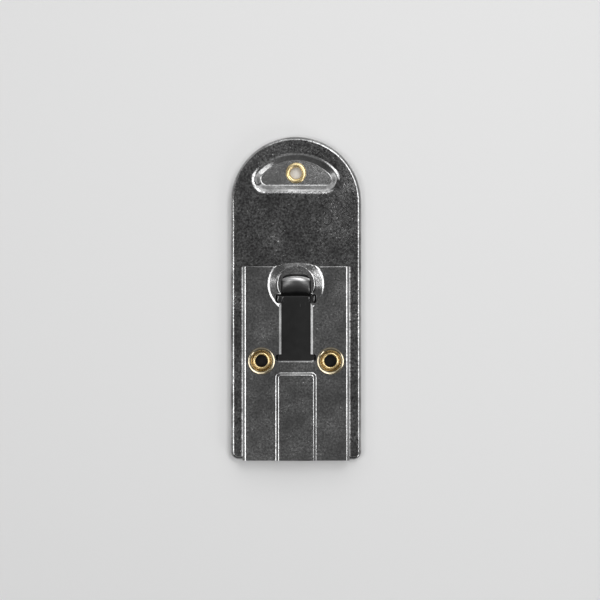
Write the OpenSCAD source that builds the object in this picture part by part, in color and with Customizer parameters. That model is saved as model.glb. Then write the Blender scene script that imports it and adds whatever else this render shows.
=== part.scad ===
// Retractable razor blade scraper, pressed from sheet steel. Millimetres, lying on its back:
// X across, Y towards the hang hole (the blade leaves at -Y), Z out of the front face.

/* [Body] */
// Width of the body
body_w = 49; // [44:0.5:60]
// Length of the body, mouth to round end
body_len = 121; // [112:1:150]
// Height of the body's front face above the table
face_z = 3.8; // [3.4:0.1:6]
// Sheet of the body and of the back tray
sheet_t = 0.7; // [0.5:0.05:0.8]
// Outside radius of the bend round the body
rim_bend = 1.4; // [1.1:0.1:2]
// Corner radius of the body at the mouth, in plan
mouth_corner = 3; // [2.2:0.1:6]
// Height of the rim's lower edge above the table
rim_lift = 0.15; // [0.05:0.05:0.4]
// Gap between the rim and the back tray
tray_gap = 0.15; // [0.05:0.05:0.3]
// Depth of the back tray
tray_h = 2.2; // [1.6:0.1:2.8]
// Reach of the rim's crimped lip under the tray
crimp_reach = 0.4; // [0.2:0.05:0.5]
// Height of the crimped lip
crimp_h = 0.6; // [0.4:0.05:0.8]

/* [Hang recess] */
// Centre of the recess's arc below the centre of the round end
recess_drop = 1.8; // [1:0.1:2.5]
// Radius of the recess floor about that centre
recess_r = 17.225; // [15:0.025:18]
// Height of the floor's straight edge above that centre
recess_chord = 8.5; // [8:0.05:9]
// Corner radius of the recess floor
recess_corner = 2; // [1.5:0.1:3]
// Width of the sloping recess wall
recess_wall = 4; // [3.8:0.1:4.4]
// Depth of the recess
recess_depth = 1.6; // [1.2:0.1:1.8]
// Bend radius of the recess wall at its floor
recess_bend = 1; // [0.8:0.05:1.5]
// Bend radius of the recess wall at its rim
recess_rim = 4; // [3:0.1:4.6]
// Hang hole above the centre of the round end
hang_rise = 11; // [10.6:0.1:11.3]
// Radius of the flange of the hang hole's eyelet
hang_flange = 3.9; // [3.4:0.05:4.1]
// Width of the wall of the dimple behind the hang hole
dimple_wall = 1.6; // [1.2:0.1:2.4]
// Bend radius of that dimple
dimple_bend = 0.9; // [0.75:0.05:1]

/* [Cover plate] */
// Gap between the blade's ends and the cover's sides
channel_side = 0.35; // [0.3:0.05:1.5]
// Length of the cover from the mouth
cover_len = 72.3; // [70:0.1:80]
// Sheet of the cover
cover_t = 0.6; // [0.5:0.05:0.65]
// Clear height of the blade channel
channel_h = 2; // [1.9:0.05:2.6]
// Outside radius of the cover's bends
cover_bend = 1.4; // [1:0.1:1.8]
// Draft of the cover's sides in degrees
cover_draft = 12; // [4:1:16]
// Outer width of the raised centre bead
bead_w = 15.4; // [14:0.1:18]
// Length of the bead from the mouth
bead_len = 33; // [30:0.1:34]
// Width of the bead's sloping side
bead_wall = 1.4; // [1.2:0.1:2]
// Height of the bead
bead_h = 0.7; // [0.5:0.05:0.9]
// Bend radius of the bead
bead_bend = 0.8; // [0.7:0.05:0.85]
// Inner corner radius of the bead
bead_corner = 0.6; // [0.3:0.1:2]

/* [Thumb slot] */
// Width of the slot
slot_w = 11; // [10.9:0.1:13]
// Lower end of the slot above the mouth
slot_foot = 37.1; // [36:0.1:39]
// Upper end of the slot above the mouth
slot_head = 69.4; // [69:0.1:71]
// Corner radius of the upper end
slot_corner = 3; // [2:0.1:4]
// Width of the slope coined on the slot's sides
coin_w = 0.8; // [0.5:0.05:1]
// Drop of the coined slopes
coin_h = 0.45; // [0.3:0.05:0.48]
// Width of the slope coined on the slot's foot
foot_coin = 0.4; // [0.3:0.05:1]
// Width across the locking notches
notch_w = 15.2; // [14.8:0.1:15.6]
// Height of the lower notches
notch_h = 2.5; // [2.3:0.1:3.2]
// Height of the upper notches
notch_top_h = 3.4; // [2.6:0.1:4]
// Corner radius of the notches
notch_corner = 0.9; // [0.4:0.1:1.1]
// Middle of the thumb dish above the mouth
dish_y = 65.8; // [65:0.1:67]
// Rim radius of the thumb dish
dish_r = 11; // [10:0.1:12]
// Floor radius of the thumb dish
dish_floor = 6.6; // [6:0.1:7]
// Depth of the thumb dish
dish_depth = 1.4; // [0.8:0.05:1.5]
// Bend radius of the thumb dish at its floor
dish_bend = 1.3; // [1:0.1:2]
// Bend radius of the thumb dish at its rim
dish_rim = 3.4; // [2.5:0.1:4]
// Half width of the lobe on the cover's upper edge
lobe_half = 8; // [6:0.1:9]
// Height of that lobe
lobe_h = 1.4; // [0.8:0.1:2]

/* [Eyelets] */
// Bore radius of an eyelet
eyelet_bore = 2.2; // [1.8:0.05:2.4]
// Wall of an eyelet's barrel
eyelet_wall = 0.35; // [0.25:0.05:0.5]
// Radius of a lower eyelet's flange
eyelet_flange = 3.25; // [3.2:0.05:3.6]
// Height of the domed flange
eyelet_flange_h = 0.7; // [0.4:0.05:0.8]
// Radius of the rolled end
eyelet_roll = 3.3; // [3.1:0.05:3.5]
// Height of the rolled end
eyelet_roll_h = 0.45; // [0.3:0.05:0.6]
// Clearance of a barrel in its holes
eyelet_gap = 0.1; // [0.05:0.05:0.2]
// Centre distance of the two lower eyelets
eyelet_pitch = 25.8; // [25.4:0.1:27]
// Lower eyelets above the mouth
eyelet_y = 37.1; // [36:0.1:38]
// Floor margin round an eyelet's flange
cup_margin = 0.1; // [0.05:0.05:0.3]
// Width of the wall of the cup round a lower eyelet
cup_wall = 1.75; // [1.7:0.05:2]
// Bend radius of that cup at its floor
cup_bend = 0.1; // [0.1:0.02:0.2]
// Bend radius of that cup at its rim
cup_rim = 1.5; // [1.1:0.02:1.54]

/* [Blade] */
// Length of the blade
blade_w = 38.1; // [37.5:0.1:38.1]
// Height of the blade, edge to back
blade_h = 19; // [18:0.1:19]
// Thickness of the blade
blade_t = 0.25; // [0.22:0.01:0.3]
// Height of the ground edge
blade_grind = 1.3; // [0.8:0.1:2]
// Height of the folded back
spine_h = 5.5; // [4.5:0.1:6]
// Thickness of the folded back
spine_t = 1; // [0.9:0.02:1.1]
// Wall of the fold over the blade's back
spine_fold = 0.3; // [0.2:0.05:0.4]
// Gap between the blade and the inside of its folded back
fold_gap = 0.01; // [0.005:0.005:0.02]
// Depth of the notch in each end of the blade
tooth_d = 2.4; // [2:0.1:3]
// Height of that notch
tooth_h = 3.1; // [2.8:0.1:3.6]
// Blade edge above the mouth when drawn in
edge_in = 10.3; // [9:0.1:11]

/* [Carrier] */
// Reach of the carrier past each end of the blade
carrier_side = 0.1; // [0.05:0.05:0.2]
// Sheet of the carrier
carrier_t = 0.5; // [0.4:0.05:0.5]
// Height of the carrier above the body's face
carrier_gap = 0.1; // [0.05:0.01:0.15]
// Gap between the carrier and the folded back
blade_gap = 0.03; // [0.02:0.01:0.05]
// Reach of the carrier past the folded back, towards the edge
carrier_front = 5; // [4:0.1:8]
// Reach of the carrier past the folded back, away from the edge
carrier_rear = 2; // [1.6:0.1:2.1]
// Corner radius of the carrier
carrier_corner = 1.2; // [0.5:0.1:2]
// Length of the carrier's neck
neck_len = 3.6; // [3:0.1:4]
// Width of the neck
neck_w = 14; // [13:0.1:14.6]
// Height of the lugs and the lip above the carrier
lug_h = 0.95; // [0.7:0.05:1]
// Length of a lug that holds the blade's notch
lug_len = 2.3; // [1.8:0.1:2.5]
// Gap between the lip and the folded back
lip_gap = 0.1; // [0.05:0.05:0.2]
// Length of each lip
lip_len = 9.5; // [6:0.1:10]
// Side gap between the latch and each lip
lip_side = 0.55; // [0.3:0.05:1]

/* [Thumb latch] */
// Sheet of the spring latch
latch_t = 0.5; // [0.4:0.05:0.5]
// Width of the spring strip
latch_w = 14; // [13.4:0.1:14.4]
// Width of the thumb hump
hump_w = 10; // [9:0.1:10.6]
// Highest point of the hump above the cover
hump_rise = 2.9; // [2:0.1:4]
// Hump's highest point above the mouth
hump_y = 66.95; // [66.5:0.05:67.2]
// Slope of the hump's ramp in degrees
ramp_angle = 65; // [50:1:70]
// Radius of the bend at the foot of the ramp
ramp_bend = 1; // [0.8:0.1:1.2]
// Radius of the hump's rounded back
crest_bend = 5; // [4:0.1:5.5]
// Length of the flat on the hump's crest
crest_flat = 0.3; // [0.2:0.05:0.5]
// Radius of the bend at the hump's front
front_bend = 1.2; // [1:0.05:1.4]
// Length of the hump's turned-down end
tail_len = 1.5; // [1:0.1:2]
// Plan corner radius of the hump
hump_corner = 2.4; // [1.5:0.1:3]
// Height of the strip above the body's face
strip_gap = 0.15; // [0.1:0.05:0.2]
// Length of the latch's riveted root
root_len = 5.9; // [5.4:0.1:6.2]
// Angle of the step behind the root in degrees
step_angle = 20; // [15:1:30]
// Bend radius of that step
step_bend = 1; // [0.8:0.1:1.2]
// Gap between the latch's root and the carrier
root_gap = 0.05; // [0.04:0.01:0.06]
// Length of a locking lug
lock_len = 1.9; // [1.6:0.1:2]
// Height of a locking lug above the strip
lock_h = 0.95; // [0.7:0.05:0.95]
// Relief cut between the hump and a locking lug's arm
relief = 0.4; // [0.3:0.05:0.6]
// Radius of a rivet's shank
rivet_r = 0.9; // [0.7:0.05:1]
// Radius of a rivet's head
rivet_head = 1.5; // [1.3:0.05:1.7]
// Height of a rivet's head
rivet_head_h = 0.4; // [0.3:0.05:0.45]
// Gap that lets the latch tip under the rivet heads
rivet_gap = 0.2; // [0.18:0.01:0.22]
// Gap between a rivet and its seat in the carrier
seat_gap = 0.03; // [0.02:0.01:0.05]
// Gap between a rivet's shank and its hole in the latch
shank_gap = 0.25; // [0.2:0.01:0.3]
// Centre distance of the two rivets
rivet_pitch = 7; // [6:0.1:8]
// Rivets from the rear end of the latch
rivet_y = 2.9; // [2.6:0.1:3.2]
// Travel of the blade from drawn in to pushed out
travel = 22; // [21.8:0.1:22]

/* [Hidden] */
$fn = 72;
over = 1;
steps = 8;
latch_steps = 12;
half = 1 / 2;
quarter_turn = 90;
half_turn = 180;

mouth = -body_len / 2;
half_w = body_w / 2;
round_y = body_len / 2 - half_w;
face_under = face_z - sheet_t;
tray_half = half_w - sheet_t - tray_gap;
tray_bend = rim_bend - sheet_t * half;
tray_mouth = mouth + sheet_t + tray_gap;
tray_corner = mouth_corner - sheet_t - tray_gap;
crimp_share = 0.7;

recess_y = round_y - recess_drop;
recess_floor_z = face_z - recess_depth;
recess_centre = recess_r - recess_corner;
recess_centre_y = recess_chord + recess_corner;
recess_centre_x = sqrt(recess_centre * recess_centre - recess_centre_y * recess_centre_y);
recess_angle = asin(recess_centre_y / recess_centre);
hang_y = round_y + hang_rise;
dimple_floor = eyelet_roll + cup_margin;
dimple_depth = recess_floor_z - 2 * sheet_t;

cover_under = face_z + channel_h;
cover_z = cover_under + cover_t;
cover_w = blade_w + 2 * (channel_side + cover_t);
cover_half = cover_w / 2;
cover_top = mouth + cover_len;
side_drop = cover_z - cover_bend - face_z;
cup_floor = eyelet_flange + cup_margin;
cup_depth = channel_h;
cup_y = mouth + eyelet_y;
bead_inner = bead_w / 2 - bead_wall;
bead_end = mouth + bead_len - bead_wall;
dish_cy = mouth + dish_y;
dish_wall = dish_r - dish_floor;
lobe_r = (lobe_half * lobe_half + lobe_h * lobe_h) / (2 * lobe_h);
slot_low = mouth + slot_foot;
slot_high = mouth + slot_head;
notch_low_y = slot_low + notch_h / 2;
notch_high_y = notch_low_y + travel;

carrier_z = face_z + carrier_gap;
carrier_top = carrier_z + carrier_t;
carrier_w = blade_w + 2 * carrier_side;
spine_z = carrier_top + blade_gap;
spine_mid = spine_z + spine_t / 2;
blade_edge = mouth + edge_in;
blade_back = blade_edge + blade_h;
spine_back = blade_back + spine_fold;
spine_foot = spine_back - spine_h;
carrier_low = spine_foot - carrier_front;
carrier_high = spine_back + carrier_rear;
tooth_y = spine_foot - tooth_h;
lug_mid = tooth_y + tooth_h / 2;
lug_x = blade_w / 2 - tooth_d / 2;

latch_rear = spine_back + lip_gap;
root_z = carrier_top + root_gap;
root_mid = root_z + latch_t / 2;
strip_z = face_z + strip_gap;
strip_mid = strip_z + latch_t / 2;
strip_top = strip_z + latch_t;
step_drop = root_mid - strip_mid;
step_bow = step_bend * (1 - cos(step_angle));
step_len = (step_drop - 2 * step_bow) / sin(step_angle);
step_run = 2 * step_bend * sin(step_angle) + step_len * cos(step_angle);
crest_mid = cover_z + hump_rise - latch_t / 2;
ramp_bow = (ramp_bend + crest_bend) * (1 - cos(ramp_angle));
ramp_len = (crest_mid - strip_mid - ramp_bow) / sin(ramp_angle);
ramp_run = (ramp_bend + crest_bend) * sin(ramp_angle) + ramp_len * cos(ramp_angle);
crest_y = mouth + hump_y;
ramp_start = crest_y - ramp_run;
lock_low = notch_high_y - lock_len / 2;
strip_len = lock_low - latch_rear - root_len - step_run;
lead_len = ramp_start - lock_low;
hump_front = crest_y + crest_flat + front_bend + latch_t / 2;
rivet_at = latch_rear + rivet_y;
rivet_head_z = root_z + latch_t + rivet_gap;

steel = [0.55, 0.55, 0.57];
dark_steel = [0.25, 0.25, 0.27];
blade_steel = [0.7, 0.71, 0.73];
spine_steel = [0.6, 0.61, 0.63];
brass = [0.8, 0.62, 0.25];

// Angle of the straight part of an S-shaped wall between two bends whose radii sum to r.
function wall_angle(w, d, r) = atan2(d - r, w) + asin(r / norm([w, d - r]));

// Points on an S-shaped wall, from the floor (0, -d) up to the rim (w, 0), moved down by t.
function s_points(w, d, low, top, t) = let (a = wall_angle(w, d, low + top) / steps) concat(
    [for (i = [0:steps]) [(low + t) * sin(a * i), low - d - (low + t) * cos(a * i)]],
    [for (i = [steps:-1:0]) [w - (top - t) * sin(a * i), (top - t) * cos(a * i) - top]]);

// Points backwards.
function reversed(p) = [for (i = [len(p) - 1:-1:0]) p[i]];

// Sheet section of an S-shaped wall, with its bend radii at the floor and at the rim.
module s_band(w, d, low, top, t)
    polygon(concat(s_points(w, d, low, top, 0), reversed(s_points(w, d, low, top, t))));

// Points of a bent strip's middle line: each move is [length, turn, bend radius].
function bend_points(p, h, turn, r) = let (side = sign(turn))
    [for (i = [1:latch_steps]) let (b = turn * i / latch_steps)
        p + r * side * [sin(h + b) - sin(h), cos(h) - cos(h + b)]];
function walk(moves, p, h, i = 0) = i == len(moves) ? [p] :
    let (m = moves[i], q = p + m[0] * [cos(h), sin(h)])
    m[1] == 0 ? concat([p], walk(moves, q, h, i + 1)) :
    let (b = bend_points(q, h, m[1], m[2]), last = latch_steps - 1)
    concat([p, q], [for (k = [0:last - 1]) b[k]], walk(moves, b[last], h + m[1], i + 1));

// Unit normal of a point list at one of its points.
function heading(p, i) = let (d = p[min(i + 1, len(p) - 1)] - p[max(i - 1, 0)]) d / norm(d);
function side_points(p, t) = [for (i = [0:len(p) - 1])
    let (d = heading(p, i)) p[i] + t * [-d[1], d[0]]];

// Strip of even thickness along a middle line.
module strip_section(p, t)
    polygon(concat(side_points(p, t / 2), reversed(side_points(p, -t / 2))));

// Half section of a slab with a rounded upper edge.
module edge_section(r, h, b) {
    square([r - b, h]);
    square([r, h - b]);
    translate([r - b, h - b]) circle(b);
}

// Slab with one round end, small corners at the mouth and a rounded upper edge.
module slab(hw, y0, y1, h, corner, b) {
    translate([0, y1, 0]) rotate_extrude(angle = half_turn) edge_section(hw, h, b);
    translate([0, y1, 0]) rotate([quarter_turn, 0, 0]) linear_extrude(y1 - y0 - corner) {
        edge_section(hw, h, b);
        mirror([1, 0]) edge_section(hw, h, b);
    }
    translate([hw - corner, y0 + corner, 0])
        rotate_extrude(angle = quarter_turn, start = -quarter_turn) edge_section(corner, h, b);
    translate([corner - hw, y0 + corner, 0])
        rotate_extrude(angle = quarter_turn, start = half_turn) edge_section(corner, h, b);
    translate([corner - hw, y0 + corner, 0]) rotate([quarter_turn, 0, quarter_turn])
        linear_extrude(2 * (hw - corner)) mirror([1, 0]) edge_section(corner, h, b);
}

// Rectangle with rounded corners, centred.
module round_rect(w, h, r) {
    square([w - 2 * r, h], center = true);
    square([w, h - 2 * r], center = true);
    for (x = [-1, 1], y = [-1, 1]) translate([x * (w / 2 - r), y * (h / 2 - r)]) circle(r);
}

// Outline of the hang recess, grown outwards by e, about the centre of its arc.
module recess_outline(e) {
    reach = 2 * recess_r;
    side = [reach * cos(recess_angle), reach * sin(recess_angle)];
    intersection() {
        circle(recess_r + e);
        polygon([[0, 0], side, [side[0], reach], [-side[0], reach], [-side[0], side[1]]]);
        translate([-reach, recess_chord - e]) square([2 * reach, reach]);
    }
    translate([-recess_centre_x, recess_chord - e])
        square([2 * recess_centre_x, recess_corner + e]);
    for (x = [-1, 1]) translate([x * recess_centre_x, recess_centre_y]) circle(recess_corner + e);
}

// Sheet section of the wall of the hang recess.
module recess_section() s_band(recess_wall, recess_depth, recess_bend, recess_rim, sheet_t);

// Sloping wall of the hang recess, level with the body's face.
module recess_band() {
    rotate_extrude(angle = half_turn - 2 * recess_angle, start = recess_angle)
        translate([recess_r, 0]) recess_section();
    translate([recess_centre_x, recess_centre_y])
        rotate_extrude(angle = quarter_turn + recess_angle, start = -quarter_turn)
        translate([recess_corner, 0]) recess_section();
    translate([-recess_centre_x, recess_centre_y])
        rotate_extrude(angle = quarter_turn + recess_angle, start = half_turn - recess_angle)
        translate([recess_corner, 0]) recess_section();
    translate([-recess_centre_x, recess_chord, 0]) rotate([quarter_turn, 0, quarter_turn])
        linear_extrude(2 * recess_centre_x) mirror([1, 0]) recess_section();
}

// Body: round-ended pan with a turned-down rim, a hang recess and a crimped lip.
module body_shell() color(steel) {
    difference() {
        translate([0, 0, rim_lift])
            slab(half_w, mouth, round_y, face_z - rim_lift, mouth_corner, rim_bend);
        translate([0, 0, rim_lift - over])
            slab(half_w - sheet_t, mouth + sheet_t, round_y, face_under - rim_lift + over,
                mouth_corner - sheet_t, rim_bend - sheet_t);
        translate([0, recess_y, face_under - over])
            linear_extrude(sheet_t + 2 * over) recess_outline(recess_wall);
        for (x = [-1, 1]) translate([x * eyelet_pitch / 2, cup_y, face_under - over])
            cylinder(r = eyelet_bore + eyelet_wall + eyelet_gap, h = sheet_t + 2 * over);
    }
    translate([0, recess_y, face_z]) recess_band();
    difference() {
        translate([0, recess_y, recess_floor_z - sheet_t])
            linear_extrude(sheet_t) recess_outline(0);
        translate([0, hang_y, recess_floor_z - sheet_t - over])
            cylinder(r = eyelet_bore + eyelet_wall + eyelet_gap, h = sheet_t + 2 * over);
    }
    crimp_len = (round_y - mouth) * crimp_share;
    crimp_y = (round_y + mouth) / 2 + crimp_len / 2;
    for (s = [0, 1]) mirror([s, 0, 0]) translate([half_w - sheet_t, crimp_y, rim_lift])
        rotate([quarter_turn, 0, 0]) linear_extrude(crimp_len)
        polygon([[sheet_t / 2, 0], [sheet_t / 2, crimp_h], [0, crimp_h], [-crimp_reach, 0]]);
}

// Back: shallow tray inside the rim, dimpled inwards round the hang hole.
module back_plate() color(steel) {
    difference() {
        translate([0, 0, tray_h]) mirror([0, 0, 1])
            slab(tray_half, tray_mouth, round_y, tray_h, tray_corner, tray_bend);
        translate([0, 0, tray_h + over]) mirror([0, 0, 1])
            slab(tray_half - sheet_t, tray_mouth + sheet_t, round_y, tray_h + over - sheet_t,
                tray_corner - sheet_t, tray_bend - sheet_t);
        translate([0, hang_y, -over]) cylinder(r = dimple_floor + dimple_wall, h = sheet_t + 2 * over);
    }
    translate([0, hang_y, 0]) mirror([0, 0, 1]) rotate_extrude()
        translate([dimple_floor, 0])
        s_band(dimple_wall, dimple_depth, dimple_bend, dimple_bend, sheet_t);
    translate([0, hang_y, dimple_depth]) difference() {
        cylinder(r = dimple_floor, h = sheet_t);
        translate([0, 0, -over])
            cylinder(r = eyelet_bore + eyelet_wall + eyelet_gap, h = sheet_t + 2 * over);
    }
}

// Outline of the bead, grown outwards by e from its flat top.
module bead_outline(e) {
    r = bead_corner + e;
    translate([-bead_inner - e, mouth]) square([2 * (bead_inner + e), bead_end - bead_corner - mouth]);
    translate([bead_corner - bead_inner, mouth])
        square([2 * (bead_inner - bead_corner), bead_end + e - mouth]);
    for (x = [-1, 1])
        translate([x * (bead_inner - bead_corner), bead_end - bead_corner]) circle(r);
}

// Sheet section of the bead's side: falls from the flat top (0) to the cover's face.
module bead_section() mirror([1, 0]) translate([-bead_wall, bead_h])
    s_band(bead_wall, bead_h, bead_bend, bead_bend, cover_t);

// Raised centre bead, level with the cover's face.
module bead() {
    for (s = [0, 1]) mirror([s, 0, 0]) {
        translate([bead_inner, bead_end - bead_corner, 0]) rotate([quarter_turn, 0, 0])
            linear_extrude(bead_end - bead_corner - mouth) bead_section();
        translate([bead_inner - bead_corner, bead_end - bead_corner, 0])
            rotate_extrude(angle = quarter_turn) translate([bead_corner, 0]) bead_section();
    }
    translate([bead_corner - bead_inner, bead_end, 0]) rotate([quarter_turn, 0, quarter_turn])
        linear_extrude(2 * (bead_inner - bead_corner)) bead_section();
    translate([0, 0, bead_h - cover_t]) linear_extrude(cover_t) bead_outline(0);
}

// Points round the cover's side bend at one radius, then down its drafted side to the body.
function drafted(r) = concat(
    [for (i = [0:steps]) let (a = quarter_turn - (quarter_turn - cover_draft) * i / steps)
        r * [cos(a), sin(a)]],
    [[(r + side_drop * sin(cover_draft)) / cos(cover_draft), -side_drop]]);

// Sheet section of the cover's side, about the centre of its bend.
module side_section() polygon(concat(drafted(cover_bend), reversed(drafted(cover_bend - cover_t))));

// Plan of the cover's flat, with the lobe on its upper edge.
module cover_plan() {
    translate([cover_bend - cover_half, mouth]) square([cover_w - 2 * cover_bend, cover_len]);
    intersection() {
        translate([0, cover_top + lobe_h - lobe_r]) circle(lobe_r);
        translate([-lobe_half, cover_top - over]) square([2 * lobe_half, lobe_h + 2 * over]);
    }
}

// Thumb slot with its locking notches.
module slot_plan() {
    wide = slot_w / 2;
    translate([-wide, slot_low]) square([slot_w, slot_high - slot_low - slot_corner]);
    translate([slot_corner - wide, slot_low])
        square([slot_w - 2 * slot_corner, slot_high - slot_low]);
    for (x = [-1, 1]) translate([x * (wide - slot_corner), slot_high - slot_corner])
        circle(slot_corner);
    translate([0, notch_low_y]) round_rect(notch_w, notch_h, notch_corner);
    translate([0, notch_high_y]) round_rect(notch_w, notch_top_h, notch_corner);
}

// Cutter for a coined slope of width w along an edge at x = 0, with the opening on its -X side.
module coin_cut(length, w) rotate([quarter_turn, 0, 0]) linear_extrude(length, center = true)
    polygon([[-over, -coin_h], [0, -coin_h], [w, 0], [w, over], [-over, over]]);

// Coined slopes along the slot's sides and foot, level with the cover's face.
module slot_coins() {
    side_low = notch_low_y + notch_h / 2;
    side_high = notch_high_y - notch_top_h / 2;
    for (s = [0, 1]) mirror([s, 0, 0])
        translate([slot_w / 2, (side_low + side_high) / 2, 0]) coin_cut(side_high - side_low, coin_w);
    translate([0, slot_low, 0]) rotate([0, 0, -quarter_turn])
        coin_cut(notch_w - 2 * notch_corner, foot_coin);
}

// Cover: channel over the blade, with bead, thumb dish, slot and eyelet cups.
module cover_plate() color(steel) difference() {
    union() {
        translate([0, 0, cover_under]) linear_extrude(cover_t) difference() {
            cover_plan();
            bead_outline(bead_wall);
            for (x = [-1, 1]) translate([x * eyelet_pitch / 2, cup_y]) circle(cup_floor + cup_wall);
            translate([0, dish_cy]) circle(dish_r);
        }
        for (s = [0, 1]) mirror([s, 0, 0])
            translate([cover_half - cover_bend, cover_top, cover_z - cover_bend])
            rotate([quarter_turn, 0, 0]) linear_extrude(cover_len) side_section();
        translate([0, 0, cover_z]) bead();
        for (x = [-1, 1]) translate([x * eyelet_pitch / 2, cup_y, cover_z]) {
            rotate_extrude() translate([cup_floor, 0])
                s_band(cup_wall, cup_depth, cup_bend, cup_rim, cover_t);
            translate([0, 0, -cup_depth - cover_t]) cylinder(r = cup_floor, h = cover_t);
        }
        intersection() {
            translate([0, dish_cy, cover_z]) union() {
                rotate_extrude() translate([dish_floor, 0])
                    s_band(dish_wall, dish_depth, dish_bend, dish_rim, cover_t);
                translate([0, 0, -dish_depth - cover_t]) cylinder(r = dish_floor, h = cover_t);
            }
            translate([0, 0, face_z]) linear_extrude(cover_z) cover_plan();
        }
    }
    translate([0, 0, face_z + over / 2]) linear_extrude(cover_z) slot_plan();
    translate([0, 0, cover_z]) slot_coins();
    for (x = [-1, 1]) translate([x * eyelet_pitch / 2, cup_y, face_z - over])
        cylinder(r = eyelet_bore + eyelet_wall + eyelet_gap, h = cover_t + 2 * over);
}

// Dome of a flange or rolled end on a flat, from the bore to its own radius.
module ring_section(outer, h) {
    mid = (eyelet_bore + outer) / 2;
    wide = (outer - eyelet_bore) / 2;
    r = (wide * wide + h * h) / (2 * h);
    intersection() {
        translate([mid, h - r]) circle(r);
        translate([eyelet_bore, 0]) square([2 * wide, h]);
    }
}

// Tubular eyelet round the Z axis: flange at z = top, rolled end at z = low.
module eyelet(low, top, flange) rotate_extrude() {
    translate([eyelet_bore, low]) square([eyelet_wall, top - low]);
    translate([0, top]) ring_section(flange, eyelet_flange_h);
    translate([0, low]) mirror([0, 1]) ring_section(eyelet_roll, eyelet_roll_h);
}

// Eyelet through the hang hole, holding the body to the back.
module hang_eyelet() color(brass)
    translate([0, hang_y, 0]) eyelet(dimple_depth, recess_floor_z, hang_flange);

// Left eyelet, holding the cover to the body.
module left_eyelet() color(brass)
    translate([-eyelet_pitch / 2, cup_y, 0]) eyelet(face_under, face_z + cover_t, eyelet_flange);

// Right eyelet, holding the cover to the body.
module right_eyelet() color(brass)
    translate([eyelet_pitch / 2, cup_y, 0]) eyelet(face_under, face_z + cover_t, eyelet_flange);

// Carrier: sliding plate under the blade, with lugs for its notches and a lip behind its back.
module blade_carrier() color(dark_steel) difference() {
    union() {
        translate([0, 0, carrier_z]) linear_extrude(carrier_t) {
            translate([0, (carrier_low + carrier_high) / 2])
                round_rect(carrier_w, carrier_high - carrier_low, carrier_corner);
            translate([-neck_w / 2, carrier_high - carrier_corner])
                square([neck_w, neck_len + carrier_corner]);
        }
        for (x = [-1, 1]) {
            translate([x * lug_x - carrier_t / 2, lug_mid - lug_len / 2, carrier_z])
                cube([carrier_t, lug_len, carrier_t + lug_h]);
            translate([x * (latch_w / 2 + lip_side + lip_len / 2) - lip_len / 2,
                spine_back + lip_gap, carrier_z])
                cube([lip_len, carrier_t, carrier_t + lug_h]);
        }
    }
    for (x = [-1, 1]) translate([x * rivet_pitch / 2, rivet_at, carrier_z - over])
        cylinder(r = rivet_r + seat_gap, h = carrier_t + 2 * over);
}

// Two rivets that hold the latch's root to the carrier.
module latch_rivets() color(spine_steel)
    for (x = [-1, 1]) translate([x * rivet_pitch / 2, rivet_at, 0]) rotate_extrude() {
        translate([0, carrier_z]) square([rivet_r, rivet_head_z + rivet_head_h / 2 - carrier_z]);
        translate([0, rivet_head_z]) intersection() {
            r = (rivet_head * rivet_head + rivet_head_h * rivet_head_h) / (2 * rivet_head_h);
            translate([0, rivet_head_h - r]) circle(r);
            square([rivet_head, rivet_head_h]);
        }
    }

// Latch: spring strip with locking lugs and a thumb hump that comes up through the slot.
module thumb_latch() color(dark_steel) {
    path = walk([[root_len, -step_angle, step_bend], [step_len, step_angle, step_bend],
        [strip_len, 0, 0], [lead_len, ramp_angle, ramp_bend], [ramp_len, -ramp_angle, crest_bend],
        [crest_flat, -quarter_turn, front_bend], [tail_len, 0, 0]], [latch_rear, root_mid], 0);
    flat = [for (p = path) if (p[0] < lock_low + relief / 2) p];
    hump = [for (p = path) if (p[0] > lock_low - relief / 2) p];
    difference() {
        translate([-latch_w / 2, 0, 0]) rotate([quarter_turn, 0, quarter_turn])
            linear_extrude(latch_w) strip_section(flat, latch_t);
        for (x = [-1, 1]) translate([x * rivet_pitch / 2, rivet_at, root_z - over])
            cylinder(r = rivet_r + shank_gap, h = latch_t + 2 * over);
    }
    intersection() {
        translate([-hump_w / 2, 0, 0]) rotate([quarter_turn, 0, quarter_turn])
            linear_extrude(hump_w) strip_section(hump, latch_t);
        linear_extrude(2 * cover_z) {
            translate([-hump_w / 2, lock_low]) square([hump_w, hump_front - hump_corner - lock_low]);
            translate([hump_corner - hump_w / 2, lock_low])
                square([hump_w - 2 * hump_corner, hump_front - lock_low]);
            for (x = [-1, 1]) translate([x * (hump_w / 2 - hump_corner), hump_front - hump_corner])
                circle(hump_corner);
        }
    }
    arm_in = hump_w / 2 + relief;
    for (s = [0, 1]) mirror([s, 0, 0]) {
        translate([arm_in, lock_low, strip_z]) cube([latch_w / 2 - arm_in, lock_len, latch_t]);
        translate([latch_w / 2 - latch_t, lock_low, strip_z])
            cube([latch_t, lock_len, latch_t + lock_h]);
    }
}

// Blade: thin steel with a ground edge and a notch in each end.
module razor_blade() color(blade_steel) difference() {
    translate([-blade_w / 2, 0, spine_mid]) rotate([quarter_turn, 0, quarter_turn])
        linear_extrude(blade_w) polygon([[blade_back, -blade_t / 2], [blade_back, blade_t / 2],
            [blade_edge + blade_grind, blade_t / 2], [blade_edge, 0],
            [blade_edge + blade_grind, -blade_t / 2]]);
    for (x = [-1, 1]) translate([x * blade_w / 2 - tooth_d, tooth_y, spine_mid - over])
        cube([2 * tooth_d, tooth_h, 2 * over]);
}

// Folded back of the blade.
module blade_spine() color(spine_steel)
    translate([-blade_w / 2, 0, spine_mid]) rotate([quarter_turn, 0, quarter_turn])
    linear_extrude(blade_w) difference() {
        union() {
            translate([spine_foot, -spine_t / 2]) square([spine_h - spine_t / 2, spine_t]);
            translate([spine_back - spine_t / 2, 0]) circle(spine_t / 2);
        }
        translate([spine_foot - over, -blade_t / 2 - fold_gap])
            square([blade_back + fold_gap - spine_foot + over, blade_t + 2 * fold_gap]);
    }

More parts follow.
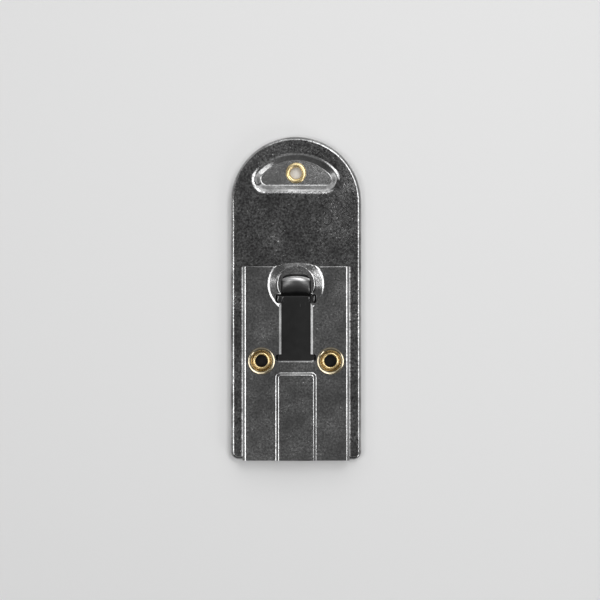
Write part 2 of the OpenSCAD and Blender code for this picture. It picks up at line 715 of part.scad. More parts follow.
body_shell();
back_plate();
cover_plate();
hang_eyelet();
left_eyelet();
right_eyelet();
blade_carrier();
latch_rivets();
thumb_latch();
razor_blade();
blade_spine();
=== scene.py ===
"""Razor blade scraper of plated sheet steel: pressed sheets, spring latch, brass eyelets and blade."""

import bpy
import bmesh
from math import sin, cos, pi, radians
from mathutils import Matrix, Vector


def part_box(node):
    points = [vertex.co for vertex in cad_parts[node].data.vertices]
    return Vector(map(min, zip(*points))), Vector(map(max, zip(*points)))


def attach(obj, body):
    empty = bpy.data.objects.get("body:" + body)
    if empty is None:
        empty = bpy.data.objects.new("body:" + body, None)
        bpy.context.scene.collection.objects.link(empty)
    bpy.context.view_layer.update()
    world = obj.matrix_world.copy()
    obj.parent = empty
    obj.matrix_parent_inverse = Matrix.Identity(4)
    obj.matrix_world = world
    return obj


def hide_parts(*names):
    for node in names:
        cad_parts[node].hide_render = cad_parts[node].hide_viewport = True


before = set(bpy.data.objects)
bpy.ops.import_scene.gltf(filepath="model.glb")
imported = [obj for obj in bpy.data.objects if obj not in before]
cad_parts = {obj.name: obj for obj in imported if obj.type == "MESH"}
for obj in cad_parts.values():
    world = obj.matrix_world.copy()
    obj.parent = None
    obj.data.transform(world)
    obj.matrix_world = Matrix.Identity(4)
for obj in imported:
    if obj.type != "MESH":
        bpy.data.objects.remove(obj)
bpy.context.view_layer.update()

# Lengths are in metres, and angles in degrees except where radians() is written
MM = 0.001
MERGE = 0.001 * MM
CREASE = 25
FLAT_WEIGHT = 100
scene = bpy.context.scene


# Modelling helpers

def start_clear():
    """Leave nothing selected."""
    for other in bpy.context.selected_objects:
        other.select_set(False)


def take(obj):
    """Select one object alone and make it active."""
    start_clear()
    obj.select_set(True)
    bpy.context.view_layer.objects.active = obj


def choose(test):
    """Select the vertices, in edit mode, whose place passes the test."""
    data = bpy.context.object.data
    mesh = bmesh.from_edit_mesh(data)
    for vert in mesh.verts:
        vert.select = test(vert.co)
    mesh.select_flush_mode()
    bmesh.update_edit_mesh(data)


def apply_modifier(obj, kind, **values):
    """Add a modifier, set its values and apply it."""
    take(obj)
    mod = obj.modifiers.new(kind.lower(), kind)
    for name, value in values.items():
        setattr(mod, name, value)
    bpy.ops.object.modifier_apply(modifier=mod.name)


def face_out(obj):
    """Merge doubles and turn all faces outwards."""
    take(obj)
    bpy.ops.object.mode_set(mode="EDIT")
    bpy.ops.mesh.select_all(action="SELECT")
    bpy.ops.mesh.remove_doubles(threshold=MERGE)
    bpy.ops.mesh.normals_make_consistent(inside=False)
    bpy.ops.object.mode_set(mode="OBJECT")


def smooth(obj):
    """Smooth shading, with creases kept sharp and flats kept flat."""
    take(obj)
    bpy.ops.object.shade_smooth_by_angle(angle=radians(CREASE))
    apply_modifier(obj, "WEIGHTED_NORMAL", keep_sharp=True, weight=FLAT_WEIGHT)


def stands_for(obj, node, body, finish):
    """The piece takes the place of a CAD node on its body, with a finish of its own."""
    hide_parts(node)
    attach(obj, body)
    obj.data.materials.clear()
    obj.data.materials.append(finish)


# Pressed sheets

FLAT_LIMIT = 0.2
EDGE_LIMIT = 55
EDGE_STEPS = 3
SHEET_EDGE = 0.14 * MM
UPPER_EDGE = 0.22 * MM
COVER_TOP = 11.8 * MM
COVER_Z = 6.4 * MM
LOBE_HALF = 8 * MM
FLAT_HALF = 18.6 * MM
FOOT_Y = -23.8 * MM
FOOT_LOW = 5.95 * MM
FOOT_HALF = 6.7 * MM
FOOT_COIN = 0.4 * MM
FOOT_BROW = ((-23.72 * MM, 6.375 * MM), (-23.62 * MM, 6.31 * MM))
NEAR = 0.01 * MM


def on_upper_edge(co):
    """Whether a corner lies on the straight parts of the cover's upper edge."""
    along = LOBE_HALF - NEAR < abs(co.x) < FLAT_HALF + NEAR
    return along and co.y > COVER_TOP - NEAR and co.z > COVER_Z - NEAR


def on_foot_slope(co):
    """Whether a corner lies on the slope at the slot's foot."""
    across = abs(co.x) < FOOT_HALF + NEAR
    along = -NEAR < co.y - FOOT_Y < FOOT_COIN + NEAR
    on_brow = co.y < FOOT_Y + NEAR
    below = FOOT_LOW - NEAR < co.z < COVER_Z - NEAR
    return across and along and (below or on_brow)


def round_upper_edge(obj):
    """Round over the cover's upper edge."""
    take(obj)
    bpy.ops.object.mode_set(mode="EDIT")
    bpy.ops.mesh.select_mode(type="VERT")
    choose(on_upper_edge)
    bpy.ops.mesh.bevel(offset=UPPER_EDGE, segments=EDGE_STEPS)
    bpy.ops.object.mode_set(mode="OBJECT")


def round_slot_foot(obj):
    """Cut across the slope at the slot's foot and level each cut, so that its brow is round."""
    take(obj)
    bpy.ops.object.mode_set(mode="EDIT")
    bpy.ops.mesh.select_mode(type="VERT")
    for y, z in FOOT_BROW:
        choose(on_foot_slope)
        bpy.ops.mesh.bisect(plane_co=(0, y, 0), plane_no=(0, 1, 0), threshold=MERGE)
        bpy.ops.transform.resize(value=(1, 1, 0), center_override=(0, 0, z))
    bpy.ops.object.mode_set(mode="OBJECT")


def pressed_sheet(node, name):
    """A merged copy of a sheet, with its sheared edges rounded over."""
    take(bpy.data.objects[node])
    bpy.ops.object.duplicate()
    sheet = bpy.context.object
    sheet.name = name
    bpy.ops.object.mode_set(mode="EDIT")
    bpy.ops.mesh.select_all(action="SELECT")
    bpy.ops.mesh.remove_doubles(threshold=MERGE)
    bpy.ops.mesh.dissolve_limited(angle_limit=radians(FLAT_LIMIT))
    bpy.ops.mesh.customdata_custom_splitnormals_clear()
    bpy.ops.object.mode_set(mode="OBJECT")
    if node == "cover_plate":
        round_upper_edge(sheet)
        round_slot_foot(sheet)
    apply_modifier(sheet, "BEVEL", width=SHEET_EDGE, segments=EDGE_STEPS, limit_method="ANGLE",
                   angle_limit=radians(EDGE_LIMIT), use_clamp_overlap=True)
    smooth(sheet)
    return sheet


# Rolled brass eyelets

EYELET_BORE = 2.2 * MM
EYELET_WALL = 0.35 * MM
FLANGE_H = 0.7 * MM
ROLL_H = 0.45 * MM
ROLL_OUTER = 3.3 * MM
CREST_SHARE = 0.46
LATHE_SIDES = 72
ARC_STEPS = 8


def arc(centre, wide, high, start, stop):
    """Points on an elliptical arc in the plane of radius and height."""
    turns = [start + (stop - start) * i / ARC_STEPS for i in range(ARC_STEPS + 1)]
    return [(centre[0] + wide * cos(a), centre[1] + high * sin(a)) for a in turns]


def lathe(name, x, y, profile):
    """A ring made by drawing a circle out along a closed profile of radius and height."""
    radius, height = profile[0]
    start_clear()
    bpy.ops.mesh.primitive_circle_add(vertices=LATHE_SIDES, radius=radius, location=(x, y, height))
    ring = bpy.context.object
    ring.name = name
    bpy.ops.object.transform_apply(location=True)
    bpy.ops.object.mode_set(mode="EDIT")
    bpy.ops.mesh.select_all(action="SELECT")
    for r, z in profile[1:] + profile[:1]:
        bpy.ops.mesh.extrude_region_move(TRANSFORM_OT_translate={"value": (0, 0, z - height)})
        bpy.ops.transform.resize(value=(r / radius, r / radius, 1), center_override=(x, y, z))
        radius, height = r, z
    bpy.ops.object.mode_set(mode="OBJECT")
    face_out(ring)
    smooth(ring)
    return ring


def eyelet(node):
    """Rolled eyelet: a rounded flange on the front seat, a barrel and a roll under the back seat."""
    low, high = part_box(node)
    outer = (high[0] - low[0]) / 2
    mid_x, mid_y = (low[0] + high[0]) / 2, (low[1] + high[1]) / 2
    seat, under = high[2] - FLANGE_H, low[2] + ROLL_H
    rise, drop = high[2] - seat, under - low[2]
    barrel = EYELET_BORE + EYELET_WALL
    crest = EYELET_BORE + (outer - EYELET_BORE) * CREST_SHARE
    roll = EYELET_BORE + (ROLL_OUTER - EYELET_BORE) * CREST_SHARE
    profile = arc((crest, seat), crest - EYELET_BORE, rise, pi, pi / 2)
    profile += arc((crest, seat), outer - crest, rise, pi / 2, 0)[1:]
    profile += [(barrel, seat), (barrel, under), (ROLL_OUTER, under)]
    profile += arc((roll, under), ROLL_OUTER - roll, drop, 0, -pi / 2)[1:]
    profile += arc((roll, under), roll - EYELET_BORE, drop, -pi / 2, -pi)[1:]
    return lathe("rolled_" + node, mid_x, mid_y, profile)


# Spring latch with its thumb hump

LATCH_T = 0.5 * MM
ROOT_LEN = 5.9 * MM
STEP_ANGLE = radians(20)
STEP_BEND = 1 * MM
STEP_DROP = 0.5 * MM
RAMP_ANGLE = radians(65)
RAMP_BEND = 1 * MM
CREST_BEND = 5 * MM
CREST_FLAT = 0.3 * MM
CREST_MARGIN = 0.01 * MM
FRONT_BEND = 1.2 * MM
TAIL_LEN = 1.5 * MM
BEND_STEPS = 12
HUMP_HALF = 5 * MM
HUMP_COLUMNS = 20
ARM_INNER = 5.4 * MM
ARM_OUTER = 6.75 * MM
LOCK_LEN = 1.9 * MM
LOCK_RISE = 1.2 * MM
LOCK_Y = -0.15 * MM
CROWN_DROP = 1.1 * MM
CROWN_BACK = 1.0 * MM
CROWN_POWER = 2.2
LATCH_EDGE = 0.12 * MM
LATCH_EDGE_STEPS = 2
RIVET_HOLE = 1.15 * MM
RIVET_HALF = 3.5 * MM
RIVET_IN = 2.9 * MM
DRILL_SIDES = 32
DRILL_LEN = 4 * LATCH_T


def bend(turn, radius, heading):
    """Small (forward, up) moves round a bend."""
    side = 1 if turn > 0 else -1
    angles = [heading + turn * i / BEND_STEPS for i in range(BEND_STEPS + 1)]
    return [(radius * side * (sin(b) - sin(a)), radius * side * (cos(a) - cos(b)))
            for a, b in zip(angles, angles[1:])]


def straight(length, heading):
    """One straight (forward, up) move."""
    return [(length * cos(heading), length * sin(heading))]


def draw_on(moves):
    """Extrude the chosen edges along a list of (forward, up) moves."""
    for forward, up in moves:
        bpy.ops.mesh.extrude_region_move(TRANSFORM_OT_translate={"value": (0, forward, up)})


def crown_row(part):
    """Move the chosen row back and down towards its ends, by a part of the full crown."""
    data = bpy.context.object.data
    row = [v.index for v in bmesh.from_edit_mesh(data).verts if v.select]
    for index in row:
        mesh = bmesh.from_edit_mesh(data)
        mesh.verts.ensure_lookup_table()
        for other in row:
            mesh.verts[other].select = other == index
        mesh.select_flush_mode()
        share = part * (abs(mesh.verts[index].co.x) / HUMP_HALF) ** CROWN_POWER
        bpy.ops.transform.translate(value=(0, -CROWN_BACK * share, -CROWN_DROP * share))
    mesh = bmesh.from_edit_mesh(data)
    mesh.verts.ensure_lookup_table()
    for index in row:
        mesh.verts[index].select = True
    mesh.select_flush_mode()


def drill_rivet_holes(latch, y, z):
    """Two rivet holes through the latch's root."""
    for side in (-1, 1):
        start_clear()
        bpy.ops.mesh.primitive_cylinder_add(vertices=DRILL_SIDES, radius=RIVET_HOLE, depth=DRILL_LEN,
                                            location=(side * RIVET_HALF, y, z))
        drill = bpy.context.object
        apply_modifier(latch, "BOOLEAN", operation="DIFFERENCE", object=drill)
        bpy.data.objects.remove(drill)


def spring_latch():
    """Spring strip drawn out from its root, up a ramp to a crowned hump, with two locking arms."""
    low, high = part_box("thumb_latch")
    rear, front, top = low[1], high[1], high[2]
    strip_z = low[2] + LATCH_T / 2
    root_z = strip_z + STEP_DROP
    crest_y = front - CREST_FLAT - FRONT_BEND - LATCH_T / 2
    crest_z = top - CREST_MARGIN - LATCH_T / 2
    both = RAMP_BEND + CREST_BEND
    ramp_len = (crest_z - strip_z - both * (1 - cos(RAMP_ANGLE))) / sin(RAMP_ANGLE)
    ramp_start = crest_y - both * sin(RAMP_ANGLE) - ramp_len * cos(RAMP_ANGLE)
    step_len = (STEP_DROP - 2 * STEP_BEND * (1 - cos(STEP_ANGLE))) / sin(STEP_ANGLE)
    step_run = 2 * STEP_BEND * sin(STEP_ANGLE) + step_len * cos(STEP_ANGLE)
    lock_low = LOCK_Y - LOCK_LEN / 2
    strip_len = lock_low - rear - ROOT_LEN - step_run

    # Root, widened from the hump's columns to the arms
    start_clear()
    bpy.ops.mesh.primitive_grid_add(x_subdivisions=HUMP_COLUMNS, y_subdivisions=1, size=1)
    latch = bpy.context.object
    latch.name = "spring_latch"
    bpy.ops.object.mode_set(mode="EDIT")
    bpy.ops.mesh.select_mode(type="VERT")
    bpy.ops.mesh.select_all(action="SELECT")
    bpy.ops.transform.resize(value=(2 * HUMP_HALF, ROOT_LEN, 1), center_override=(0, 0, 0))
    bpy.ops.transform.translate(value=(0, rear + ROOT_LEN / 2, root_z))
    for side in (-1, 1):
        for edge, reach in ((HUMP_HALF, ARM_INNER), (ARM_INNER, ARM_OUTER)):
            choose(lambda co: side * co.x > edge - MERGE)
            bpy.ops.mesh.extrude_region_move(
                TRANSFORM_OT_translate={"value": (side * (reach - edge), 0, 0)})

    # Step down to the strip, and the strip as far as the locking lugs
    choose(lambda co: co.y > rear + ROOT_LEN - MERGE)
    draw_on(bend(-STEP_ANGLE, STEP_BEND, 0) + straight(step_len, -STEP_ANGLE))
    draw_on(bend(STEP_ANGLE, STEP_BEND, -STEP_ANGLE) + straight(strip_len, 0))

    # Arms with their locking lugs
    choose(lambda co: co.y > lock_low - MERGE and abs(co.x) > ARM_INNER - MERGE)
    draw_on([(LOCK_LEN, 0)])
    choose(lambda co: co.y > lock_low - MERGE and abs(co.x) > ARM_OUTER - MERGE)
    draw_on([(0, LOCK_RISE)])

    # Ramp, crowned crest and turned-down end
    choose(lambda co: abs(co.y - lock_low) < MERGE and abs(co.x) < HUMP_HALF + MERGE)
    rise = straight(ramp_start - lock_low, 0) + bend(RAMP_ANGLE, RAMP_BEND, 0)
    rise += straight(ramp_len, RAMP_ANGLE) + bend(-RAMP_ANGLE, CREST_BEND, RAMP_ANGLE)
    for forward, up in rise:
        draw_on([(forward, up)])
        crown_row(up / (crest_z - strip_z))
    draw_on(straight(CREST_FLAT, 0) + bend(-pi / 2, FRONT_BEND, 0) + straight(TAIL_LEN, -pi / 2))
    bpy.ops.object.mode_set(mode="OBJECT")

    # Thickness, rivet holes and rounded edges
    face_out(latch)
    apply_modifier(latch, "SOLIDIFY", thickness=LATCH_T, offset=0, use_even_offset=True)
    face_out(latch)
    drill_rivet_holes(latch, rear + RIVET_IN, root_z)
    apply_modifier(latch, "BEVEL", width=LATCH_EDGE, segments=LATCH_EDGE_STEPS, limit_method="ANGLE",
                   angle_limit=radians(EDGE_LIMIT))
    smooth(latch)
    return latch


# Node helpers

MIX_SHARE, MIX_FIRST, MIX_SECOND = 0, 6, 7
MIX_COLOUR = 2


def grey(level):
    """A neutral colour."""
    return (level, level, level, 1)


class Tree:
    """Short calls for adding and joining shader nodes."""

    def __init__(self, tree):
        self.tree = tree

    def feed(self, socket, value):
        """Join a socket to another, or set it to a plain value."""
        if isinstance(value, bpy.types.NodeSocket):
            self.tree.links.new(value, socket)
        else:
            socket.default_value = value

    def join(self, node, **values):
        """Feed a node's sockets by name."""
        for name, value in values.items():
            self.feed(node.inputs[name.replace("_", " ")], value)

    def add(self, kind, **values):
        """A node with its named sockets fed."""
        node = self.tree.nodes.new("ShaderNode" + kind)
        self.join(node, **values)
        return node

    def math(self, operation, a, b=0.5):
        """One math node."""
        node = self.add("Math")
        node.operation = operation
        self.feed(node.inputs[0], a)
        self.feed(node.inputs[1], b)
        return node.outputs[0]

    def plus(self, a, b):
        """Sum of two values."""
        return self.math("ADD", a, b)

    def minus(self, a, b):
        """Difference of two values."""
        return self.math("SUBTRACT", a, b)

    def times(self, a, b):
        """Product of two values."""
        return self.math("MULTIPLY", a, b)

    def size(self, a):
        """A value without its sign."""
        return self.math("ABSOLUTE", a)

    def spread(self, value, low, high, to_low=0, to_high=1):
        """Map a value's range to another, clamped."""
        node = self.add("MapRange", Value=value, From_Min=low, From_Max=high,
                        To_Min=to_low, To_Max=to_high)
        return node.outputs["Result"]

    def mix(self, share, first, second):
        """Mix two colours."""
        node = self.add("Mix")
        node.data_type = "RGBA"
        self.feed(node.inputs[MIX_SHARE], share)
        self.feed(node.inputs[MIX_FIRST], first)
        self.feed(node.inputs[MIX_SECOND], second)
        return node.outputs[MIX_COLOUR]

    def tones(self, share, dark, pale):
        """Mix two greys."""
        return self.mix(share, grey(dark), grey(pale))

    def raised(self, height, strength, distance):
        """A bump from a height."""
        bump = self.add("Bump", Height=height, Strength=strength, Distance=distance)
        return bump.outputs["Normal"]

    def parts(self, vector):
        """The X, Y and Z of a vector."""
        return self.add("SeparateXYZ", Vector=vector).outputs


# Marks shared by the metals

MARK_SCALES = {"Grain Scale": 1250, "Cloud Scale": 120, "Scratch Scale": 300}
MARK_NAMES = ("Grain", "Cloud", "Waves", "Specks", "Scratches")
GRAIN_NOISE = {"Detail": 5.0, "Roughness": 0.75}
CLOUD_NOISE = {"Detail": 5.0, "Roughness": 0.6}
WAVE_NOISE = {"Detail": 0.0}
SCRATCH_NOISE = {"Detail": 3.0, "Roughness": 0.7}
GRAIN_RANGE = (0.38, 0.62)
CLOUD_RANGE = (0.3, 0.7)
SCRATCH_RANGE = (0.66, 0.74)
SCRATCH_TURN = (0, 0, 0.15)
SCRATCH_STRETCH = (6, 0.25, 1)
SPECKS_PER_GRAIN = 1.2
SPECK_PATCHES = (0.35, 0.65)
SPECK_SIZES = (0.15, 0.5)
SPECK_EDGE = (0, 0.2)


def plating_group():
    """Fine grain, broad clouding, gentle waves, bright specks and hairline scratches, each from 0 to 1."""
    group = bpy.data.node_groups.new("plating_marks", "ShaderNodeTree")
    for name, start in MARK_SCALES.items():
        socket = group.interface.new_socket(name, in_out="INPUT", socket_type="NodeSocketFloat")
        socket.default_value = start
    for name in MARK_NAMES:
        group.interface.new_socket(name, in_out="OUTPUT", socket_type="NodeSocketFloat")
    t = Tree(group)
    scales = group.nodes.new("NodeGroupInput").outputs
    out = group.nodes.new("NodeGroupOutput")
    place = t.add("TexCoord").outputs["Object"]

    grain = t.add("TexNoise", Vector=place, Scale=scales["Grain Scale"], **GRAIN_NOISE)
    cloud = t.add("TexNoise", Vector=place, Scale=scales["Cloud Scale"], **CLOUD_NOISE)
    wave = t.add("TexNoise", Vector=place, Scale=scales["Cloud Scale"], **WAVE_NOISE)

    # Specks of chance size and brightness, larger in the cloudy patches
    speck = t.add("TexVoronoi", Vector=place, Scale=t.times(scales["Grain Scale"], SPECKS_PER_GRAIN))
    chance = t.add("SeparateColor", Color=speck.outputs["Color"]).outputs
    reach = t.spread(cloud.outputs["Fac"], *SPECK_PATCHES, *SPECK_SIZES)
    inside = t.minus(t.times(reach, chance["Red"]), speck.outputs["Distance"])
    specks = t.times(t.spread(inside, *SPECK_EDGE), chance["Green"])

    # Scratches nearly along the tool
    turned = t.add("Mapping", Vector=place, Rotation=SCRATCH_TURN, Scale=SCRATCH_STRETCH)
    line = t.add("TexNoise", Vector=turned.outputs["Vector"], Scale=scales["Scratch Scale"],
                 **SCRATCH_NOISE)

    t.join(out, Grain=t.spread(grain.outputs["Fac"], *GRAIN_RANGE),
           Cloud=t.spread(cloud.outputs["Fac"], *CLOUD_RANGE), Waves=wave.outputs["Fac"],
           Specks=specks, Scratches=t.spread(line.outputs["Fac"], *SCRATCH_RANGE))
    return group


marks_group = plating_group()


def shader(name, **values):
    """A material with one principled shader."""
    mat = bpy.data.materials.new(name)
    mat.use_nodes = True
    mat.node_tree.nodes.clear()
    t = Tree(mat.node_tree)
    bsdf = t.add("BsdfPrincipled", **values)
    t.add("OutputMaterial", Surface=bsdf.outputs["BSDF"])
    return mat, t, bsdf


def metal(name, **scales):
    """A metal's material with the shared marks placed in it, at scales of its own where given."""
    mat, t, bsdf = shader(name, Metallic=1.0)
    group = mat.node_tree.nodes.new("ShaderNodeGroup")
    group.node_tree = marks_group
    t.join(group, **scales)
    return mat, t, bsdf, group.outputs


# Plated sheet

BODY_TONES = (0.1, 0.47)
COVER_TONES = (0.26, 0.58)
PATCHES = (0.75, 1.25)
SPECK_TONE = 0.85
# Painted sheen on bends: the normal-Z range of the bend mask, and the paler tones and share mixed in there
BEND_NORMAL_Z = (0.97, 0.9)
BEND_SHEEN_TONES = (0.2, 0.64)
BEND_SHEEN_SHARE = 0.75
PLATE_ROUGH = (0.13, 0.18)
SPECK_ROUGH = 0.1
SPECK_HEIGHT = 0.7
SCRATCH_DEPTH = 0.5
FLAT_RELIEF, BENT_RELIEF = 1, 0.3
WAVE_HEIGHT = 30
PLATE_BUMP = (0.12, 0.04 * MM)
# Painted sheen on the hang recess floor: its height band, paler tones and added roughness
RECESS_FLOOR = (3 * MM, 2.6 * MM)
RECESS_TONES = (0.32, 0.54)
RECESS_ROUGH = 0.05
# Painted reflection of the eyelets' brass on the cups round them: reach, tint and share
CUP_REACH = (5.4 * MM, 4.8 * MM)
CUP_REFLECTED_BRASS = (0.6, 0.48, 0.26, 1)
CUP_SHARE = 0.6
# Painted shade inside the tray and on the track under the cover: where it falls, its near-black tones and
# added roughness
TRAY_INSIDE = (0.5 * MM, 0.65 * MM)
TRACK_HALF = (19.4 * MM, 19 * MM)
TRACK_END = (12 * MM, 11.5 * MM)
TRACK_MOUTH = (-59.4 * MM, -59 * MM)
SHADE_TONES = (0.015, 0.035)
SHADE_ROUGH = 0.3


def recess_floor(t, place):
    """Share of painted sheen: paler, slightly rougher base on the floor of the hang recess."""
    return t.spread(place["Z"], *RECESS_FLOOR)


def cup_brass_reflection(t, place):
    """Share of painted reflection of the brass eyelets: brass tint on the cups round the two lower
    eyelets.
    """
    low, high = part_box("right_eyelet")
    across = t.minus(t.size(place["X"]), (low[0] + high[0]) / 2)
    along = t.minus(place["Y"], (low[1] + high[1]) / 2)
    square = t.plus(t.times(across, across), t.times(along, along))
    return t.spread(t.math("SQRT", square), *CUP_REACH)


def inside_painted_shade(t, place):
    """Share of painted shade: near-black base colour over all of the tray's inner side."""
    return t.spread(place["Z"], *TRAY_INSIDE)


def track_painted_shade(t, place):
    """Share of painted shade: near-black base colour on the track that the carrier slides on, under the
    cover.
    """
    across = t.spread(t.size(place["X"]), *TRACK_HALF)
    along = t.times(t.spread(place["Y"], *TRACK_END), t.spread(place["Y"], *TRACK_MOUTH))
    return t.times(across, along)


def plating(name, tones, painted_shade=None, painted_brass_reflection=None, painted_floor_sheen=None):
    """Bright plating on rolled sheet: mottled and finely scratched in the flat, with a painted sheen
    (paler base colour) on its bends.
    """
    mat, t, bsdf, marks = metal(name)
    spot = t.add("TexCoord").outputs
    place = t.parts(spot["Object"])
    bent = t.spread(t.size(t.parts(spot["Normal"])["Z"]), *BEND_NORMAL_Z)

    dark, pale = tones
    patchy = t.tones(marks["Cloud"], *(pale * share for share in PATCHES))
    base = t.mix(marks["Grain"], grey(dark), patchy)
    base = t.mix(marks["Specks"], base, grey(SPECK_TONE))
    # Painted sheen: the base colour turns paler where the surface bends away from flat, so the bends read
    # brighter
    painted_bend_sheen = t.tones(marks["Cloud"], *BEND_SHEEN_TONES)
    base = t.mix(t.times(bent, BEND_SHEEN_SHARE), base, painted_bend_sheen)

    rough = t.spread(marks["Cloud"], 0, 1, *PLATE_ROUGH)
    rough = t.plus(rough, t.times(marks["Specks"], SPECK_ROUGH))

    height = t.plus(marks["Grain"], t.times(marks["Specks"], SPECK_HEIGHT))
    height = t.minus(height, t.times(marks["Scratches"], SCRATCH_DEPTH))
    height = t.times(height, t.spread(bent, 0, 1, FLAT_RELIEF, BENT_RELIEF))
    height = t.plus(height, t.times(marks["Waves"], WAVE_HEIGHT))

    # Painted sheen: paler base colour on the hang recess floor
    if painted_floor_sheen:
        share = t.times(painted_floor_sheen(t, place), t.minus(1, bent))
        base = t.mix(share, base, t.tones(marks["Grain"], *RECESS_TONES))
        rough = t.plus(rough, t.times(share, RECESS_ROUGH))
    # Painted reflection: brass tint on the cups round the lower eyelets
    if painted_brass_reflection:
        base = t.mix(t.times(painted_brass_reflection(t, place), CUP_SHARE), base, CUP_REFLECTED_BRASS)
    # Painted shade: near-black, rougher base inside the tray and under the cover
    if painted_shade:
        share = painted_shade(t, place)
        base = t.mix(share, base, t.tones(marks["Cloud"], *SHADE_TONES))
        rough = t.plus(rough, t.times(share, SHADE_ROUGH))
    t.join(bsdf, Base_Color=base, Roughness=rough, Normal=t.raised(height, *PLATE_BUMP))
    return mat


# Spring, brass and blade

SPRING_GRAIN, SPRING_SCRATCH = 2500, 500
SPRING_TONES = (0.11, 0.16)
SPRING_SCRATCHED = 0.26
SPRING_ROUGH = (0.16, 0.28)
SPRING_GRAIN_HEIGHT = 0.4
SPRING_BUMP = (0.05, 0.02 * MM)
# Painted highlight on the hump's front: its span along the strip and its tone
HUMP_HIGHLIGHT_SPAN = (6.2 * MM, 7.2 * MM)
HUMP_HIGHLIGHT_TONE = 0.75
HUMP_DULL = (1 * MM, 3 * MM)
HUMP_ROUGH = 0.2
BRASS_CLOUD = 400
BRASS_DEEP = (0.76, 0.58, 0.28, 1)
BRASS_PALE = (0.9, 0.74, 0.44, 1)
TARNISH = (0.4, 0.25, 0.09, 1)
TARNISH_SHARE = 0.3
BRASS_ROUGH = (0.22, 0.3)
BRASS_BUMP = (0.06, 0.02 * MM)
BLADE_SCRATCH = 900
BLADE_TONES = (0.5, 0.62)
BLADE_SCRATCHED = 0.75
BLADE_ROUGH = (0.2, 0.34)
BLADE_BUMP = (0.1, 0.02 * MM)
SPINE_TONES = (0.42, 0.55)
SPINE_ROUGH = (0.28, 0.42)
SPINE_BUMP = (0.15, 0.03 * MM)


def spring_steel():
    """Smooth, dark spring strip with hairline wear along its length, and a painted highlight (paler base
    colour) on the hump's front.
    """
    mat, t, bsdf, marks = metal("spring_steel", Grain_Scale=SPRING_GRAIN, Scratch_Scale=SPRING_SCRATCH)
    along = t.parts(t.add("TexCoord").outputs["Object"])["Y"]
    base = t.tones(marks["Cloud"], *SPRING_TONES)
    base = t.mix(marks["Scratches"], base, grey(SPRING_SCRATCHED))
    # Painted highlight: paler base colour across the hump's front edge
    base = t.mix(t.spread(along, *HUMP_HIGHLIGHT_SPAN), base, grey(HUMP_HIGHLIGHT_TONE))
    rough = t.spread(marks["Scratches"], 0, 1, *SPRING_ROUGH)
    rough = t.plus(rough, t.spread(along, *HUMP_DULL, 0, HUMP_ROUGH))
    height = t.plus(t.times(marks["Grain"], SPRING_GRAIN_HEIGHT), marks["Scratches"])
    t.join(bsdf, Base_Color=base, Roughness=rough, Normal=t.raised(height, *SPRING_BUMP))
    return mat


def eyelet_brass():
    """Bright rolled brass, a little tarnished in patches."""
    mat, t, bsdf, marks = metal("eyelet_brass", Cloud_Scale=BRASS_CLOUD)
    base = t.mix(marks["Cloud"], BRASS_DEEP, BRASS_PALE)
    base = t.mix(t.times(marks["Specks"], TARNISH_SHARE), base, TARNISH)
    rough = t.spread(marks["Grain"], 0, 1, *BRASS_ROUGH)
    t.join(bsdf, Base_Color=base, Roughness=rough, Normal=t.raised(marks["Grain"], *BRASS_BUMP))
    return mat


def blade_steel():
    """Ground blade steel with lines across its length."""
    mat, t, bsdf, marks = metal("blade_steel", Scratch_Scale=BLADE_SCRATCH)
    base = t.tones(marks["Grain"], *BLADE_TONES)
    base = t.mix(marks["Scratches"], base, grey(BLADE_SCRATCHED))
    rough = t.spread(marks["Scratches"], 0, 1, *BLADE_ROUGH)
    t.join(bsdf, Base_Color=base, Roughness=rough, Normal=t.raised(marks["Scratches"], *BLADE_BUMP))
    return mat


def spine_steel():
    """Folded back of the blade: duller rolled steel."""
    mat, t, bsdf, marks = metal("spine_steel")
    base = t.tones(marks["Cloud"], *SPINE_TONES)
    rough = t.spread(marks["Grain"], 0, 1, *SPINE_ROUGH)
    t.join(bsdf, Base_Color=base, Roughness=rough, Normal=t.raised(marks["Grain"], *SPINE_BUMP))
    return mat


# The object

finishes = {
    "cover_plating": plating("cover_plating", COVER_TONES, painted_brass_reflection=cup_brass_reflection),
    "body_plating": plating("body_plating", BODY_TONES, painted_shade=track_painted_shade, painted_floor_sheen=recess_floor),
    "tray_plating": plating("tray_plating", BODY_TONES, painted_shade=inside_painted_shade),
    "spring_steel": spring_steel(),
    "eyelet_brass": eyelet_brass(),
    "blade_steel": blade_steel(),
    "spine_steel": spine_steel(),
}

# CAD nodes kept as they are, with a finish each
kept_nodes = {"blade_carrier": "spring_steel", "latch_rivets": "spine_steel",
              "razor_blade": "blade_steel", "blade_spine": "spine_steel"}
for node, finish in kept_nodes.items():
    materials = bpy.data.objects[node].data.materials
    materials.clear()
    materials.append(finishes[finish])

sheets = {"body_shell": ("body_pan", "body_plating"), "back_plate": ("back_tray", "tray_plating"),
          "cover_plate": ("front_cover", "cover_plating")}
for node, (name, finish) in sheets.items():
    stands_for(pressed_sheet(node, name), node, "body", finishes[finish])

for node in ("hang_eyelet", "left_eyelet", "right_eyelet"):
    stands_for(eyelet(node), node, "body", finishes["eyelet_brass"])

stands_for(spring_latch(), "thumb_latch", "latch", finishes["spring_steel"])


# Studio

FLOOR_SIZE = 4
FLOOR_GREY = 0.8
FLOOR_ROUGH = 0.9
WORLD_GREY = 0.125
LAMP_DISTANCE = 0.7

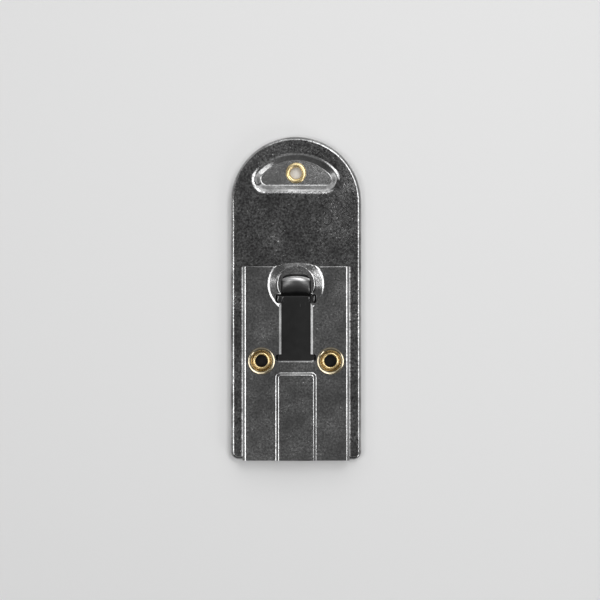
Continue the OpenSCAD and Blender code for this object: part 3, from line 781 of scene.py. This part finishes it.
# Each lamp's name, azimuth, elevation, width, height and power
LAMPS = (
    ("left_strip", 193, 62, 0.32, 0.26, 1.1),
    ("right_strip", 27, 65, 0.62, 0.26, 1.8),
    ("left_box", 180, 34, 0.9, 0.1, 0.38),
    ("right_box", 0, 34, 0.9, 0.1, 0.3),
    ("upper_box", 75, 43.5, 0.62, 0.54, 1.35),
    ("corner_box", 120, 28, 0.5, 0.22, 0.28),
    ("low_right_box", 315, 24, 0.2, 0.2, 0.6),
    ("foot_box", 270, 62, 0.5, 0.3, 0.12),
)


def studio_floor():
    """Plain pale floor under the object."""
    start_clear()
    bpy.ops.mesh.primitive_plane_add(size=FLOOR_SIZE)
    floor = bpy.context.object
    floor.name = "floor"
    paper = shader("floor_paper", Base_Color=grey(FLOOR_GREY), Roughness=FLOOR_ROUGH)[0]
    floor.data.materials.append(paper)


def softbox(name, azimuth, elevation, wide, high, power):
    """Soft lamp aimed at the middle of the object."""
    lamp = bpy.data.lights.new(name, "AREA")
    lamp.shape = "RECTANGLE"
    lamp.size, lamp.size_y = wide, high
    lamp.energy = power
    obj = bpy.data.objects.new(name, lamp)
    a, e = radians(azimuth), radians(elevation)
    level = LAMP_DISTANCE * cos(e)
    obj.location = (level * cos(a), level * sin(a), LAMP_DISTANCE * sin(e))
    obj.rotation_euler = (pi / 2 - e, 0, a + pi / 2)
    scene.collection.objects.link(obj)


scene.view_settings.view_transform = "Standard"
scene.world = bpy.data.worlds.new("studio")
scene.world.use_nodes = True
scene.world.node_tree.nodes["Background"].inputs["Color"].default_value = grey(WORLD_GREY)

studio_floor()
for row in LAMPS:
    softbox(*row)

# Camera straight above the front face, framed as the photograph is

PX_PER_MM = 2.685
PHOTO_PX = 600
OBJECT_PX = (296, 298.2)
FOCAL = 85
lens = bpy.data.cameras.new("camera")
lens.lens = FOCAL
camera = bpy.data.objects.new("camera", lens)
span = PHOTO_PX / PX_PER_MM * MM
camera.location = ((PHOTO_PX / 2 - OBJECT_PX[0]) / PX_PER_MM * MM,
                   (OBJECT_PX[1] - PHOTO_PX / 2) / PX_PER_MM * MM,
                   COVER_Z + span * lens.lens / lens.sensor_width)
scene.collection.objects.link(camera)
scene.camera = camera
